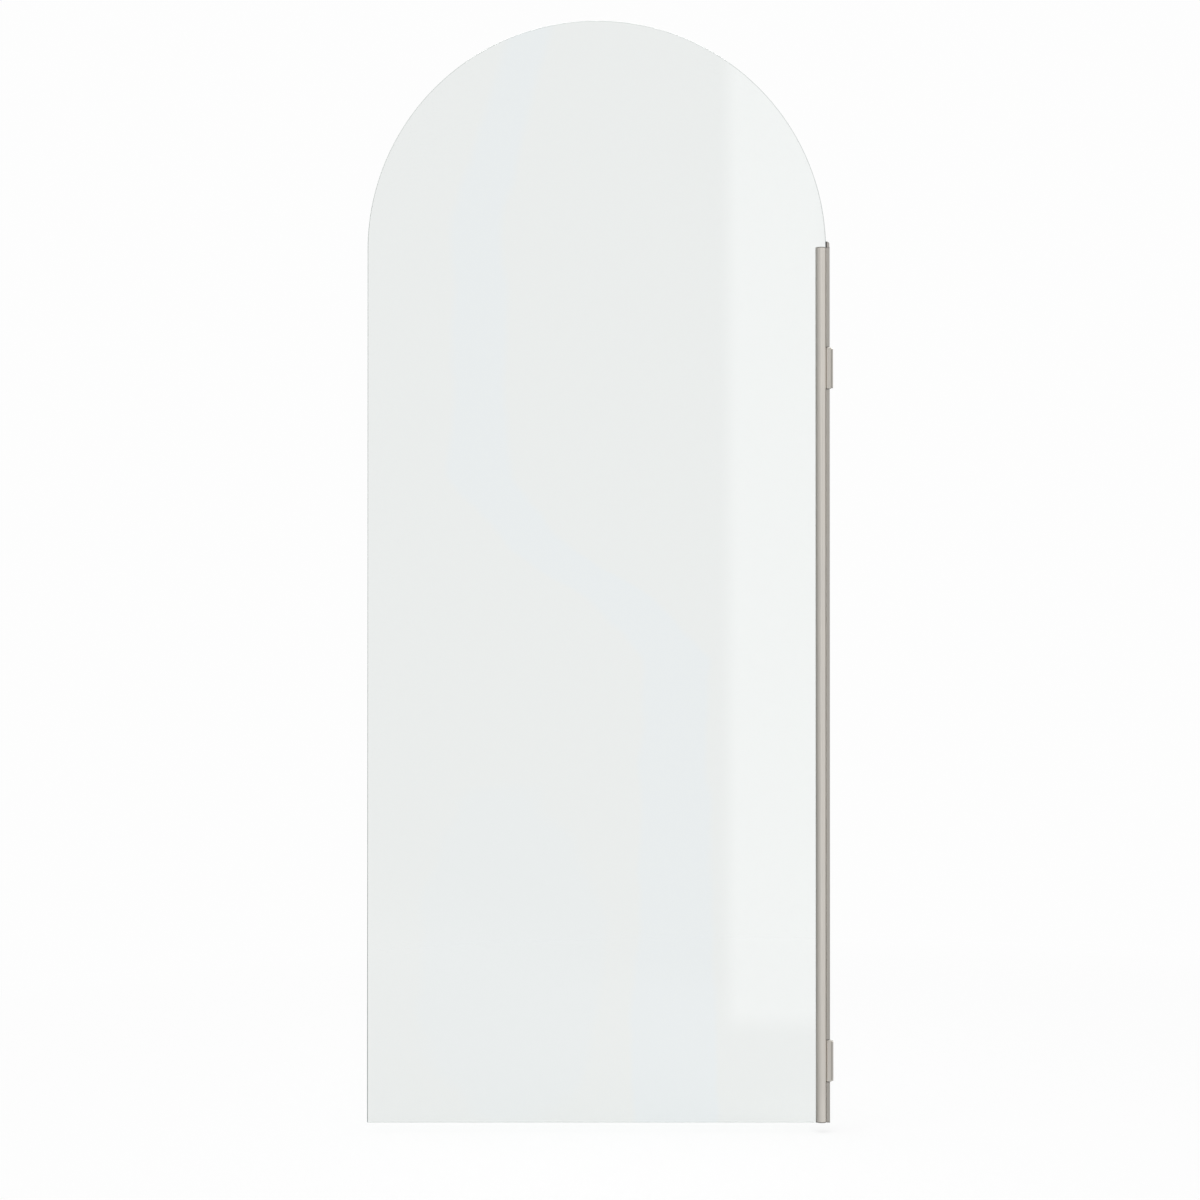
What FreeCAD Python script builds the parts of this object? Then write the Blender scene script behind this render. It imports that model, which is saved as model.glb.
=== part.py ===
import FreeCAD, Part
import Sketcher
import os
import re

# Hinged walk-in shower screen: an arched glass pane held in a channel, which swings on two wall brackets.
# Frame in millimetres: x = 0 is the wall and the screen reaches towards -X, y = 0 is the middle of the
# glass with the bather's entry side at -Y, and z = 0 is the middle of the lower bracket.

# Driving sizes
SIZES = (
    ("glass_width", 832.4, "pane, free edge to hinge edge"),
    ("glass_height", 2000, "pane, bottom edge to crown of the arch"),
    ("glass_thickness", 6, "toughened pane"),
    ("glass_arris", 0.8, "polished chamfer round both faces"),
    ("lower_hinge_height", 113, "middle of the lower bracket above the bottom of the pane"),
    ("upper_hinge_drop", 219.2, "middle of the upper bracket below the top of the top cap"),
    ("axis_wall_gap", 8.85, "hinge axis from the wall"),
    ("axis_glass_gap", 3, "hinge axis in front of the face of the glass"),
    ("pin_radius", 1.5, "hinge pin"),
    ("pin_grip", 14, "pin held in the bar beyond each end of a notch"),
    ("pin_running_clearance", 0.05, "pin in the knuckle and in the washers, radial"),
    ("pin_seat_clearance", 0.02, "pin in the bar, radial"),
    ("pin_chamfer", 0.4, "ends of the pin"),
    ("knuckle_radius", 3, "round nose of the arm, half its thickness"),
    ("bracket_height", 75, "arm and wall plate"),
    ("arm_chamfer", 0.5, "top and bottom edges of the arm"),
    ("washer_radius", 2.7, "nylon washer"),
    ("washer_thickness", 0.8, "nylon washer"),
    ("washer_play", 0.2, "free play on each side of a washer"),
    ("plate_thickness", 3.5, "wall plate"),
    ("plate_front_step", 0.3, "front edge of the plate behind the face of the arm"),
    ("plate_back_reach", 28, "back edge of the plate behind the middle of the glass"),
    ("plate_back_height", 52, "wall plate at its back edge"),
    ("plate_corner", 3, "front corners of the plate"),
    ("plate_back_corner", 8, "back corners of the plate"),
    ("plate_edge_chamfer", 0.8, "room-side rim of the plate"),
    ("wall_hole_radius", 2.3, "hole for a wall screw"),
    ("wall_hole_inset", 16, "wall screws from the top and bottom of the plate"),
    ("wall_hole_edge", 10, "wall screws from the back edge of the plate"),
    ("wall_sink_radius", 4.4, "mouth of the countersink"),
    ("arm_screw_radius", 1.25, "screw that holds the arm to the plate"),
    ("arm_screw_head_radius", 2.3, "its countersunk head"),
    ("arm_screw_setback", 0.5, "arm screws behind the hinge axis"),
    ("arm_screw_inset", 15.5, "arm screws from the top and bottom of the arm"),
    ("arm_screw_pin_gap", 0.95, "tip of an arm screw from the hinge pin"),
    ("arm_screw_clearance", 0.15, "radial room for the screw in the plate"),
    ("bar_width", 5.7, "hinge bar, along the wall normal"),
    ("bar_depth", 5.2, "hinge bar, front to back"),
    ("bar_round", 0.8, "front outer edge of the hinge bar"),
    ("notch_clearance", 0.4, "channel behind the back of the arm"),
    ("nose_clearance", 0.75, "channel beside the round nose of the arm"),
    ("web_thickness", 4.6, "channel wall beside the edge of the glass"),
    ("web_flat", 0.2, "flat beside the rounded top outer corner of the web"),
    ("channel_back_round", 1.6, "back outer edge of the channel"),
    ("back_wall_thickness", 2, "channel wall behind the glass"),
    ("back_wall_reach", 18.7, "back wall over the glass, from its edge"),
    ("front_wall_thickness", 1.8, "channel wall before the glass"),
    ("rib_width", 1.1, "rib that locates the cover"),
    ("rib_height", 1.2, "rib that locates the cover"),
    ("channel_foot", 1.6, "underside of the bottom cap above the bottom of the pane"),
    ("clad_over_spring", 3, "top of the top cap above the start of the arch"),
    ("web_rise", 11, "top of the web above the top cap"),
    ("edge_gasket_thickness", 1.3, "strip between the edge of the glass and the web"),
    ("edge_gasket_step", 0.6, "strip kept behind the front face of the glass"),
    ("edge_gasket_lip", 1.2, "its lip over the face of the glass, above the top cap"),
    ("back_gasket_thickness", 1, "strip behind the glass"),
    ("front_gasket_thickness", 0.7, "strip before the glass"),
    ("pressure_strip_thickness", 1.2, "metal strip that spreads the clamp screws"),
    ("strip_setback", 1.8, "pressure strip and face gaskets back from the edge of the glass"),
    ("strip_lip_gap", 1.4, "pressure strip beside the hook of the cover"),
    ("clamp_screw_count", 6, "grub screws along the channel"),
    ("clamp_screw_inset", 66, "first and last grub screw from the ends of the channel"),
    ("clamp_screw_radius", 2, "grub screw"),
    ("clamp_screw_length", 4, "grub screw"),
    ("thread_clearance", 0.02, "screw in its thread, radial"),
    ("cover_radius", 9.95, "half-round cover, outside"),
    ("cover_wall", 1.4, "half-round cover"),
    ("cover_bar_gap", 0.3, "crease between the cover and the hinge bar"),
    ("cover_glass_gap", 0.2, "cover in front of the face of the glass"),
    ("cover_seat_gap", 0.05, "cover in front of the front wall"),
    ("cover_clearance", 0.15, "front wall and rib inside the cover"),
    ("lip_clearance", 0.4, "hook of the cover behind the front wall"),
    ("lip_reach", 1.5, "hook of the cover past the end of the front wall"),
    ("cap_thickness", 1.5, "end caps"),
    ("plug_length", 6, "tongues of the end caps"),
    ("plug_clearance", 0.15, "tongues of the end caps, all round"),
    ("socket_radius", 1, "hexagon socket of every screw, across corners over two"),
    ("socket_depth", 1.2, "hexagon socket of every screw"),
)

# Places worked out from the sizes
PLACES = {
    "glass_front": "-glass_thickness / 2",
    "glass_back": "glass_thickness / 2",
    "axis_x": "-axis_wall_gap",
    "axis_y": "glass_front - axis_glass_gap",
    "bar_left": "axis_x - bar_width / 2",
    "bar_right": "axis_x + bar_width / 2",
    "bar_front": "axis_y - bar_depth / 2",
    "bar_back": "axis_y + bar_depth / 2",
    "web_left": "bar_right - web_thickness",
    "glass_right": "web_left - edge_gasket_thickness",
    "glass_left": "glass_right - glass_width",
    "glass_bottom": "-lower_hinge_height",
    "arch_radius": "glass_width / 2",
    "arch_x": "glass_right - arch_radius",
    "arch_z": "glass_bottom + glass_height - arch_radius",
    "back_wall_front": "glass_back + back_gasket_thickness",
    "back_wall_back": "back_wall_front + back_wall_thickness",
    "back_wall_left": "glass_right - back_wall_reach",
    "front_wall_back": "glass_front - front_gasket_thickness - pressure_strip_thickness",
    "front_wall_front": "front_wall_back - front_wall_thickness",
    "front_wall_half": "sqrt(cover_inner_radius ^ 2 - (cover_y - front_wall_front) ^ 2)",
    "front_wall_left": "cover_x - front_wall_half + cover_clearance",
    "edge_gasket_front": "glass_front + edge_gasket_step",
    "lip_over_glass": "glass_right - edge_gasket_lip",
    "strip_right": "glass_right - strip_setback",
    "strip_left": "lip_right + strip_lip_gap",
    "strip_middle": "(strip_left + strip_right) / 2",
    "cover_y": "glass_front - cover_glass_gap",
    "cover_inner_radius": "cover_radius - cover_wall",
    "cover_end_y": "front_wall_front - cover_seat_gap",
    "cover_end_x": "bar_left - cover_bar_gap",
    "cover_x": "cover_end_x - sqrt(cover_radius ^ 2 - (cover_y - cover_end_y) ^ 2)",
    "cover_inner_end_x": "cover_x + sqrt(cover_inner_radius ^ 2 - (cover_y - cover_end_y) ^ 2)",
    "lip_front": "front_wall_back + lip_clearance",
    "lip_left": "cover_x - sqrt(cover_inner_radius ^ 2 - (cover_y - lip_front) ^ 2)",
    "lip_right": "front_wall_left + lip_reach",
    "rib_front": "front_wall_front - rib_height",
    "rib_half": "sqrt(cover_inner_radius ^ 2 - (cover_y - rib_front) ^ 2)",
    "rib_right": "cover_x + rib_half - cover_clearance",
    "rib_left": "rib_right - rib_width",
    "cap_foot": "glass_bottom + channel_foot",
    "channel_bottom": "cap_foot + cap_thickness",
    "clad_top": "arch_z + clad_over_spring",
    "hinge_spacing": "clad_top - upper_hinge_drop",
    "channel_top": "clad_top - cap_thickness",
    "channel_length": "channel_top - channel_bottom",
    "web_top": "clad_top + web_rise",
    "notch_height": "bracket_height + 2 * (washer_thickness + 2 * washer_play)",
    "arm_back": "axis_y + knuckle_radius",
    "arm_front": "axis_y - knuckle_radius",
    "notch_back": "arm_back + notch_clearance",
    "notch_left": "axis_x - knuckle_radius - nose_clearance",
    "plate_front": "arm_front + plate_front_step",
    "wall_hole_y": "plate_back_reach - wall_hole_edge",
    "wall_hole_z": "bracket_height / 2 - wall_hole_inset",
    "arm_screw_y": "axis_y + arm_screw_setback",
    "arm_screw_z": "bracket_height / 2 - arm_screw_inset",
    "arm_screw_tip": "axis_x + pin_radius + arm_screw_pin_gap",
    "washer_bottom": "bracket_height / 2 + washer_play",
    "clamp_first": "channel_bottom + clamp_screw_inset",
    "clamp_run": "channel_length - 2 * clamp_screw_inset",
    "plug_radius": "cover_inner_radius - plug_clearance",
    "plug_back": "rib_front - plug_clearance",
    "plug_half": "sqrt(plug_radius ^ 2 - (cover_y - plug_back) ^ 2)",
    "clear_left": "cover_x - cover_radius - back_wall_reach",
    "clear_right": "bar_right + bar_width",
    "clear_front": "bar_front - bar_depth",
    "clear_back": "back_wall_back + bar_depth",
}

XY, XZ, YZ = "XY_Plane", "XZ_Plane", "YZ_Plane"
UP = FreeCAD.Vector(0, 0, 1)

# Numbers by which a constraint calls the points of an edge, and the two axes of a sketch
_, START, END, CENTRE = range(4)
ON_X_AXIS, ON_Y_AXIS = range(-1, -3, -1)

doc = FreeCAD.newDocument("shower_screen")
sheet = doc.addObject("Spreadsheet::Sheet", "Sizes")
for row, (alias, size, meaning) in enumerate(SIZES, start=1):
    sheet.set(f"A{row}", alias)
    sheet.set(f"B{row}", str(size))
    sheet.set(f"C{row}", meaning)
    sheet.setAlias(f"B{row}", alias)
doc.recompute()
SIZE_NAMES = {alias for alias, size, meaning in SIZES}
sub_parts = []


# Formulas
def spelled(formula, sheet_name=""):
    def one_word(found):
        word = found.group(0)
        if word in PLACES:
            return "(" + spelled(PLACES[word], sheet_name) + ")"
        return sheet_name + word if word in SIZE_NAMES else word
    return re.sub(r"[a-z_]+", one_word, formula)


def value(formula):
    return float(sheet.evalExpression(spelled(formula)))


def bind(item, field, formula):
    item.setExpression(field, spelled(formula, "Sizes."))


# Sub-parts and sketches
def new_body(label):
    body = doc.addObject("PartDesign::Body", label)
    body.Label = label
    sub_parts.append(body)
    return body


def origin_feature(body, role):
    return next(item for item in body.Origin.OriginFeatures if item.Role == role)


def new_sketch(body, name, plane, lift=None):
    sketch = body.newObject("Sketcher::SketchObject", name)
    sketch.AttachmentSupport = [(origin_feature(body, plane), "")]
    sketch.MapMode = "FlatFace"
    if lift:
        bind(sketch, "AttachmentOffset.Base.z", lift)
    return sketch


def dimension(sketch, kind, places, formula):
    number = sketch.addConstraint(Sketcher.Constraint(kind, *places, value(formula)))
    name = f"{kind}_{number}"
    sketch.renameConstraint(number, name)
    bind(sketch, f"Constraints.{name}", formula)


def pin_point(sketch, edge, end, x=None, y=None):
    if x == "0":
        sketch.addConstraint(Sketcher.Constraint("PointOnObject", edge, end, ON_Y_AXIS))
    elif x:
        dimension(sketch, "DistanceX", (ON_X_AXIS, START, edge, end), x)
    if y == "0":
        sketch.addConstraint(Sketcher.Constraint("PointOnObject", edge, end, ON_X_AXIS))
    elif y:
        dimension(sketch, "DistanceY", (ON_X_AXIS, START, edge, end), y)


def circle(sketch, x, y, radius):
    centre = FreeCAD.Vector(value(x), value(y), 0)
    edge = sketch.addGeometry(Part.Circle(centre, UP, value(radius)))
    pin_point(sketch, edge, CENTRE, x, y)
    dimension(sketch, "Radius", (edge,), radius)


def outline(sketch, corners, arcs=None):
    """Closed outline. A corner is (x, y), or (x, y, pinned) where an arc settles the other coordinate.
    arcs maps the number of an edge to (centre x, centre y, radius, turns left)."""
    arcs = arcs or {}
    points = [FreeCAD.Vector(value(corner[0]), value(corner[1]), 0) for corner in corners]
    ends = []
    for number, point in enumerate(points):
        after = points[(number + 1) % len(points)]
        if number in arcs:
            x, y, radius, turns_left = arcs[number]
            centre = FreeCAD.Vector(value(x), value(y), 0)
            first, last = (point, after) if turns_left else (after, point)
            ring = Part.Circle(centre, UP, value(radius))
            curve = Part.ArcOfCircle(ring, ring.parameter(first), ring.parameter(last))
            edge = sketch.addGeometry(curve)
            ends.append((edge, START, END) if turns_left else (edge, END, START))
        else:
            edge = sketch.addGeometry(Part.LineSegment(point, after))
            ends.append((edge, START, END))
    for number, (edge, first, last) in enumerate(ends):
        next_edge, next_first, next_last = ends[(number + 1) % len(ends)]
        sketch.addConstraint(Sketcher.Constraint("Coincident", edge, last, next_edge, next_first))
    for number, corner in enumerate(corners):
        edge, first, last = ends[number]
        pinned = corner[2] if len(corner) > 2 else "xy"
        before = corners[number - 1]
        straight = number > 0 and (number - 1) not in arcs
        x = corner[0] if "x" in pinned else None
        y = corner[1] if "y" in pinned else None
        if x and straight and before[0] == x:
            sketch.addConstraint(Sketcher.Constraint("Vertical", ends[number - 1][0]))
            x = None
        if y and straight and before[1] == y:
            sketch.addConstraint(Sketcher.Constraint("Horizontal", ends[number - 1][0]))
            y = None
        pin_point(sketch, edge, first, x, y)
    for number, (x, y, radius, turns_left) in arcs.items():
        edge = ends[number][0]
        pin_point(sketch, edge, CENTRE, x, y)
        starts_at_a_set_point = len(corners[number]) == 2
        if not starts_at_a_set_point:
            dimension(sketch, "Radius", (edge,), radius)


def rectangle(sketch, left, right, low, high):
    outline(sketch, ((left, low), (right, low), (right, high), (left, high)))


# Features
def pad(body, name, sketch, length, both_ways=False, backwards=False):
    feature = body.newObject("PartDesign::Pad", name)
    feature.Profile = sketch
    feature.SideType = "Symmetric" if both_ways else "One side"
    feature.Reversed = backwards
    bind(feature, "Length", length)
    doc.recompute()
    return feature


def must_shrink(body, feature, volume_before):
    doc.recompute()
    if feature.Shape.Volume >= volume_before:
        raise RuntimeError(f"{body.Label}: {feature.Name} cuts nothing")


def pocket(body, name, sketch, length=None, both_ways=False, backwards=False):
    volume_before = body.Shape.Volume
    feature = body.newObject("PartDesign::Pocket", name)
    feature.Profile = sketch
    feature.SideType = "Symmetric" if both_ways else "One side"
    feature.Reversed = backwards
    if length:
        bind(feature, "Length", length)
    else:
        feature.Type = "ThroughAll"
    must_shrink(body, feature, volume_before)
    return feature


def revolve(body, name, sketch, axis):
    feature = body.newObject("PartDesign::Revolution", name)
    feature.Profile = sketch
    feature.ReferenceAxis = (origin_feature(body, axis), [""])
    feature.Angle = 360
    doc.recompute()
    return feature


def along_z(body, name, features, run, count):
    feature = body.newObject("PartDesign::LinearPattern", name)
    feature.Originals = features
    feature.Direction = (origin_feature(body, "Z_Axis"), [""])
    bind(feature, "Length", run)
    bind(feature, "Occurrences", count)
    body.Tip = feature
    doc.recompute()
    return feature


def soften(body, kind, name, size_field, size, wanted):
    base = body.Tip
    edges = [f"Edge{number}" for number, edge in enumerate(base.Shape.Edges, start=1) if wanted(edge)]
    if not edges:
        raise RuntimeError(f"{body.Label}: {name} finds no edge")
    feature = body.newObject(f"PartDesign::{kind}", name)
    feature.Base = (base, edges)
    bind(feature, size_field, size)
    doc.recompute()
    return feature


def fillet(body, name, radius, wanted):
    return soften(body, "Fillet", name, "Radius", radius, wanted)


def chamfer(body, name, size, wanted):
    return soften(body, "Chamfer", name, "Size", size, wanted)


def near(place, target):
    return abs(place - target) < 1e-4


def is_circle(edge, radius):
    return isinstance(edge.Curve, Part.Circle) and near(edge.Curve.Radius, radius)


def upright_at(x, y):
    """Test for an edge along Z at this x and y."""
    def wanted(edge):
        box = edge.BoundBox
        return box.ZLength > box.XLength + box.YLength and near(box.Center.x, x) and near(box.Center.y, y)
    return wanted


def flat_at(*levels):
    """Test for an edge that lies at one of these heights."""
    def wanted(edge):
        box = edge.BoundBox
        return near(box.ZLength, 0) and any(near(box.ZMin, level) for level in levels)
    return wanted


# Glass
def glass_panel():
    body = new_body("glass_panel")
    sketch = new_sketch(body, "arched_outline", XZ)
    corners = (
        ("glass_left", "glass_bottom"),
        ("glass_right", "glass_bottom"),
        ("glass_right", "arch_z"),
        ("glass_left", "arch_z", "y"),
    )
    outline(sketch, corners, {2: ("arch_x", "arch_z", "arch_radius", True)})
    pad(body, "pane", sketch, "glass_thickness", both_ways=True)

    def on_a_face(edge):
        return near(edge.BoundBox.YLength, 0)
    chamfer(body, "arris", "glass_arris", on_a_face)


# Channel that clamps the glass and carries the pins
def hinge_profile():
    body = new_body("hinge_profile")
    section = new_sketch(body, "channel_section", XY, "channel_bottom")
    corners = (
        ("back_wall_left", "back_wall_front"),
        ("web_left", "back_wall_front"),
        ("web_left", "bar_back"),
        ("bar_left", "bar_back"),
        ("bar_left", "front_wall_back"),
        ("front_wall_left", "front_wall_back"),
        ("front_wall_left", "front_wall_front"),
        ("rib_left", "front_wall_front"),
        ("rib_left", "rib_front"),
        ("rib_right", "rib_front"),
        ("rib_right", "front_wall_front"),
        ("bar_left", "front_wall_front"),
        ("bar_left", "bar_front"),
        ("bar_right", "bar_front"),
        ("bar_right", "back_wall_back"),
        ("back_wall_left", "back_wall_back"),
    )
    outline(section, corners)
    circle(section, "axis_x", "axis_y", "pin_radius + pin_seat_clearance")
    pad(body, "extrusion", section, "web_top - channel_bottom")
    fillet(body, "bar_edge", "bar_round", upright_at(value("bar_right"), value("bar_front")))
    fillet(body, "back_edge", "channel_back_round", upright_at(value("bar_right"), value("back_wall_back")))

    # Only the web stands above the caps
    trim = new_sketch(body, "trim_outline", XY, "web_top")
    trim_corners = (
        ("clear_left", "clear_front"),
        ("clear_right", "clear_front"),
        ("clear_right", "bar_back"),
        ("web_left", "bar_back"),
        ("web_left", "clear_back"),
        ("clear_left", "clear_back"),
    )
    outline(trim, trim_corners)
    pocket(body, "top_trim", trim, "web_top - channel_top")

    # Bar cut away where an arm sits, with the same cut at both brackets
    notch = new_sketch(body, "notch_outline", XY)
    rectangle(notch, "notch_left", "clear_right", "clear_front", "notch_back")
    lower_notch = pocket(body, "lower_notch", notch, "notch_height", both_ways=True)
    along_z(body, "both_notches", [lower_notch], "hinge_spacing", "2")

    hole = new_sketch(body, "clamp_hole", XZ)
    circle(hole, "strip_middle", "clamp_first", "clamp_screw_radius + thread_clearance")
    first_hole = pocket(body, "first_clamp_hole", hole, "-rib_front", backwards=True)
    along_z(body, "clamp_holes", [first_hole], "clamp_run", "clamp_screw_count")

    def outer_corner(edge):
        box = edge.BoundBox
        at_top = near(box.ZMin, value("web_top")) and near(box.ZLength, 0)
        return at_top and near(box.XMin, value("bar_right")) and near(box.XLength, 0)
    fillet(body, "web_corner", "web_thickness - web_flat", outer_corner)


# Strips round the hinge edge of the glass
def strip(label, left, right, low, high, top="channel_top"):
    body = new_body(label)
    sketch = new_sketch(body, f"{label}_section", XY, "channel_bottom")
    rectangle(sketch, left, right, low, high)
    pad(body, f"{label}_length", sketch, f"{top} - channel_bottom")
    return body


def glazing_strips():
    gasket_front = "glass_front - front_gasket_thickness"
    strip("pressure_strip", "strip_left", "strip_right", "front_wall_back", gasket_front)
    strip("front_gasket", "strip_left", "strip_right", gasket_front, "glass_front")
    strip("back_gasket", "strip_left", "strip_right", "glass_back", "back_wall_front")
    body = strip("edge_gasket", "glass_right", "web_left", "edge_gasket_front", "glass_back", "web_top")
    lip = new_sketch(body, "lip_section", XY, "clad_top")
    lip_corners = (
        ("lip_over_glass", "bar_back"),
        ("web_left", "bar_back"),
        ("web_left", "edge_gasket_front"),
        ("glass_right", "edge_gasket_front"),
        ("glass_right", "glass_front"),
        ("lip_over_glass", "glass_front"),
    )
    outline(lip, lip_corners)
    pad(body, "lip", lip, "web_top - clad_top")


def socket_corners():
    return tuple((f"socket_radius * cos({60 * k})", f"socket_radius * sin({60 * k})") for k in range(6))


def clamp_screws():
    body = new_body("clamp_screws")
    shank = new_sketch(body, "shank_outline", XZ)
    circle(shank, "0", "0", "clamp_screw_radius")
    blank = pad(body, "shank", shank, "clamp_screw_length")
    socket = new_sketch(body, "socket_outline", XZ, "clamp_screw_length")
    outline(socket, socket_corners())
    cut = pocket(body, "socket", socket, "socket_depth")
    along_z(body, "row", [blank, cut], "clamp_run", "clamp_screw_count")
    bind(body, "Placement.Base.x", "strip_middle")
    bind(body, "Placement.Base.y", "front_wall_back")
    bind(body, "Placement.Base.z", "clamp_first")


# Half-round cover hooked over the front wall
def front_cover():
    body = new_body("front_cover")
    sketch = new_sketch(body, "cover_section", XY, "channel_bottom")
    corners = (
        ("cover_x - cover_radius", "cover_y", "y"),
        ("cover_end_x", "cover_end_y", "y"),
        ("cover_inner_end_x", "cover_end_y", "y"),
        ("lip_left", "lip_front", "y"),
        ("lip_right", "lip_front"),
        ("lip_right", "cover_y"),
    )
    arcs = {
        0: ("cover_x", "cover_y", "cover_radius", True),
        2: ("cover_x", "cover_y", "cover_inner_radius", False),
    }
    outline(sketch, corners, arcs)
    pad(body, "cover_length", sketch, "channel_length")


# End caps, each with a tongue in the hollow of the cover and a peg in the bore of the bar
def end_cap(label, underside, tongue_base, tongue_down, round_glass):
    body = new_body(label)
    face = new_sketch(body, "cap_outline", XY, underside)
    corners = [
        ("cover_x - cover_radius", "cover_y", "y"),
        ("cover_end_x", "cover_end_y", "y"),
        ("bar_left", "cover_end_y"),
        ("bar_left", "bar_front"),
        ("bar_right", "bar_front"),
    ]
    if round_glass:
        corners += [
            ("bar_right", "back_wall_back"),
            ("back_wall_left", "back_wall_back"),
            ("back_wall_left", "back_wall_front"),
            ("web_left", "back_wall_front"),
            ("web_left", "bar_back"),
        ]
    else:
        corners += [("bar_right", "bar_back - plug_clearance")]
    last_level = corners[-1][1]
    corners += [("bar_left", last_level), ("bar_left", "cover_y")]
    outline(face, corners, {0: ("cover_x", "cover_y", "cover_radius", True)})
    pad(body, "plate", face, "cap_thickness")
    tongue = new_sketch(body, "tongue_outline", XY, tongue_base)
    tongue_corners = (
        ("cover_x - plug_half", "plug_back", "y"),
        ("cover_x + plug_half", "plug_back", ""),
    )
    outline(tongue, tongue_corners, {0: ("cover_x", "cover_y", "plug_radius", True)})
    tongue.addConstraint(Sketcher.Constraint("Horizontal", 1))
    pad(body, "tongue", tongue, "plug_length", backwards=tongue_down)
    peg = new_sketch(body, "peg_outline", XY, tongue_base)
    circle(peg, "axis_x", "axis_y", "pin_radius")
    pad(body, "peg", peg, "plug_length", backwards=tongue_down)


# Hinges, each made at z = 0 and lifted to its bracket
def lift(body, height):
    if height:
        bind(body, "Placement.Base.z", height)


def wall_plate(place, height):
    body = new_body(f"{place}_wall_plate")
    sketch = new_sketch(body, "plate_outline", YZ, "-plate_thickness")
    corners = (
        ("plate_front", "-bracket_height / 2"),
        ("plate_back_reach", "-plate_back_height / 2"),
        ("plate_back_reach", "plate_back_height / 2"),
        ("plate_front", "bracket_height / 2"),
    )
    outline(sketch, corners)
    pad(body, "plate", sketch, "plate_thickness")

    def corner_at(level):
        def wanted(edge):
            box = edge.BoundBox
            return box.XLength > box.YLength + box.ZLength and near(box.Center.y, value(level))
        return wanted
    fillet(body, "front_corners", "plate_corner", corner_at("plate_front"))
    fillet(body, "back_corners", "plate_back_corner", corner_at("plate_back_reach"))

    def room_side_rim(edge):
        return near(edge.BoundBox.XMax, value("-plate_thickness"))
    chamfer(body, "rim", "plate_edge_chamfer", room_side_rim)

    wall_holes = new_sketch(body, "wall_holes", YZ, "-plate_thickness")
    circle(wall_holes, "wall_hole_y", "-wall_hole_z", "wall_hole_radius")
    circle(wall_holes, "wall_hole_y", "wall_hole_z", "wall_hole_radius")
    pocket(body, "wall_screw_holes", wall_holes, "plate_thickness", backwards=True)

    def hole_mouth(edge):
        return is_circle(edge, value("wall_hole_radius")) and room_side_rim(edge)
    chamfer(body, "countersinks", "wall_sink_radius - wall_hole_radius", hole_mouth)

    arm_holes = new_sketch(body, "arm_holes", YZ)
    hole_radius = "arm_screw_radius + arm_screw_clearance"
    circle(arm_holes, "arm_screw_y", "-arm_screw_z", hole_radius)
    circle(arm_holes, "arm_screw_y", "arm_screw_z", hole_radius)
    pocket(body, "arm_screw_holes", arm_holes, "plate_thickness")

    def head_seat(edge):
        return is_circle(edge, value(hole_radius)) and near(edge.BoundBox.XMin, 0)
    chamfer(body, "head_seats", "arm_screw_head_radius - arm_screw_radius", head_seat)
    lift(body, height)


def hinge_arm(place, height):
    body = new_body(f"{place}_hinge_arm")
    sketch = new_sketch(body, "arm_outline", XY)
    corners = (
        ("axis_x", "arm_front", "x"),
        ("-plate_thickness", "arm_front"),
        ("-plate_thickness", "arm_back"),
        ("axis_x", "arm_back", "x"),
    )
    outline(sketch, corners, {3: ("axis_x", "axis_y", "knuckle_radius", True)})
    circle(sketch, "axis_x", "axis_y", "pin_radius + pin_running_clearance")
    pad(body, "arm", sketch, "bracket_height", both_ways=True)
    half = value("bracket_height / 2")
    bore = value("pin_radius + pin_running_clearance")
    at_end = flat_at(-half, half)

    def outer_end(edge):
        at_plate = near(edge.BoundBox.XMin, value("-plate_thickness"))
        return at_end(edge) and not is_circle(edge, bore) and not at_plate
    chamfer(body, "ends", "arm_chamfer", outer_end)
    holes = new_sketch(body, "screw_holes", YZ, "-plate_thickness")
    circle(holes, "arm_screw_y", "-arm_screw_z", "arm_screw_radius + thread_clearance")
    circle(holes, "arm_screw_y", "arm_screw_z", "arm_screw_radius + thread_clearance")
    pocket(body, "tapped_holes", holes, "-plate_thickness - arm_screw_tip")
    lift(body, height)


def arm_screws(place, height):
    body = new_body(f"{place}_arm_screws")
    sketch = new_sketch(body, "screw_outline", XY)
    cone_depth = "arm_screw_head_radius - arm_screw_radius"
    corners = (
        ("arm_screw_tip", "0"),
        ("0", "0"),
        ("0", "arm_screw_head_radius"),
        (f"-({cone_depth})", "arm_screw_radius"),
        ("arm_screw_tip", "arm_screw_radius"),
    )
    outline(sketch, corners)
    blank = revolve(body, "blank", sketch, "X_Axis")
    socket = new_sketch(body, "socket_outline", YZ)
    outline(socket, socket_corners())
    cut = pocket(body, "socket", socket, "socket_depth")
    along_z(body, "pair", [blank, cut], "2 * arm_screw_z", "2")
    bind(body, "Placement.Base.y", "arm_screw_y")
    bind(body, "Placement.Base.z", (height or "0") + " - arm_screw_z")


def hinge_pin(place, height):
    body = new_body(f"{place}_hinge_pin")
    sketch = new_sketch(body, "pin_section", XY)
    circle(sketch, "axis_x", "axis_y", "pin_radius")
    pad(body, "pin", sketch, "notch_height + 2 * pin_grip", both_ways=True)
    half = value("notch_height / 2 + pin_grip")
    chamfer(body, "ends", "pin_chamfer", flat_at(-half, half))
    lift(body, height)


def washer(place, side, base, height):
    body = new_body(f"{place}_{side}_washer")
    sketch = new_sketch(body, "washer_section", XY, base)
    circle(sketch, "axis_x", "axis_y", "washer_radius")
    circle(sketch, "axis_x", "axis_y", "pin_radius + pin_running_clearance")
    pad(body, "washer", sketch, "washer_thickness")
    lift(body, height)


def hinge(place, height):
    wall_plate(place, height)
    hinge_arm(place, height)
    arm_screws(place, height)
    hinge_pin(place, height)
    washer(place, "top", "washer_bottom", height)
    washer(place, "bottom", "-washer_bottom - washer_thickness", height)


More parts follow.
